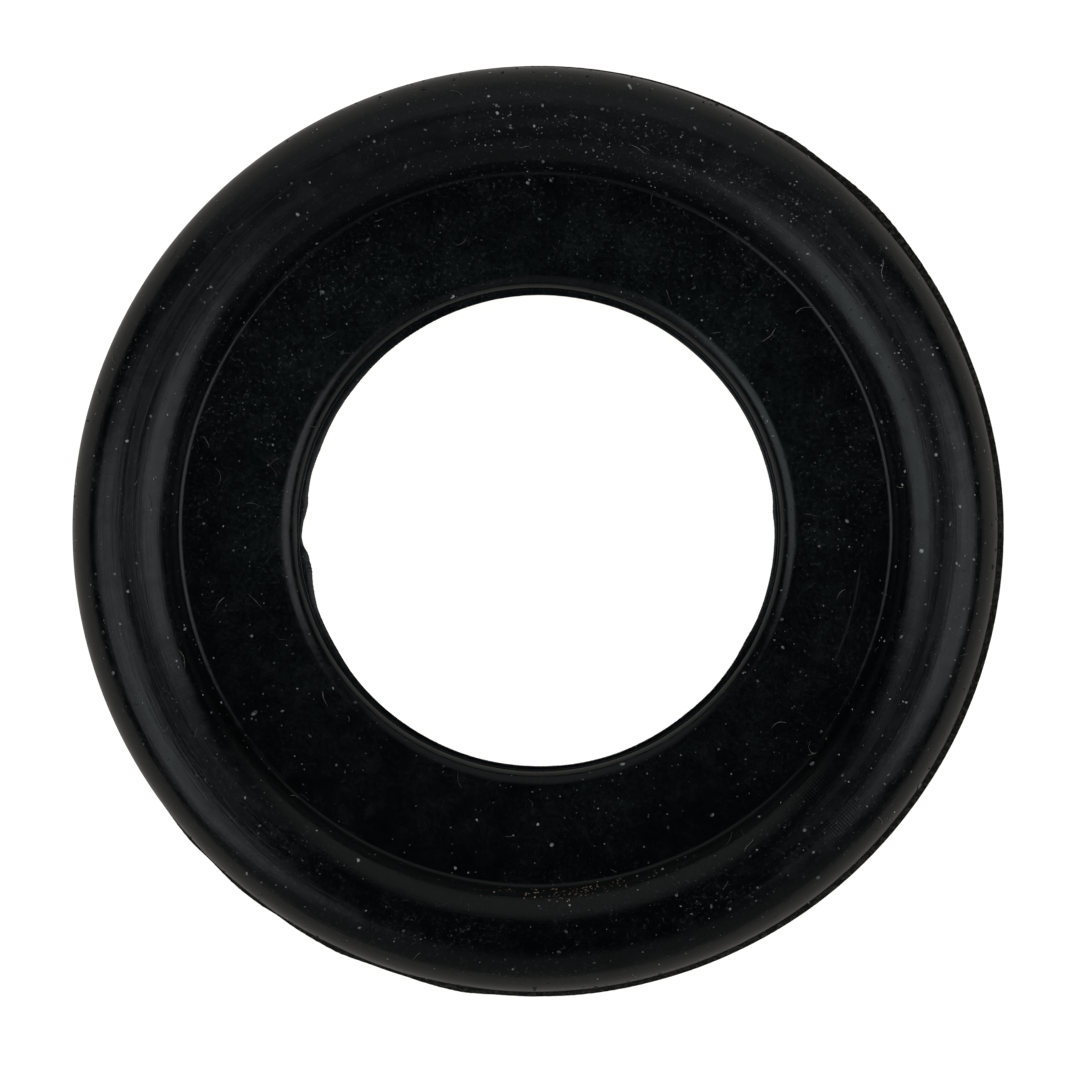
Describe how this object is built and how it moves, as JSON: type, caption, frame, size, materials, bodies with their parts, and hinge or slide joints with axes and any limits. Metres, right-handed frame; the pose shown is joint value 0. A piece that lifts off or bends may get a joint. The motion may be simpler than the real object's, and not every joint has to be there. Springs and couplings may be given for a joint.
{
  "type": "rubber sealing ring",
  "caption": "Flat rubber sealing ring with a round bead at its rim, a thinner web inside it and a round-lipped bore, with trimmed mould flash at mid-height.",
  "frame": {"origin": "on the ring's axis at the underside of the bead, which the ring lies on", "axes": "+Z along the ring's axis, up through the face that is seen; +X towards the side where the flash stands proudest"},
  "size_m": [0.0302, 0.0301, 0.0036],
  "materials": {
    "rubber": "smooth moulded black rubber, glossy, with fine dust"
  },
  "bodies": {
    "root": {"sealing_ring": "rubber"}
  },
  "joints": []
}
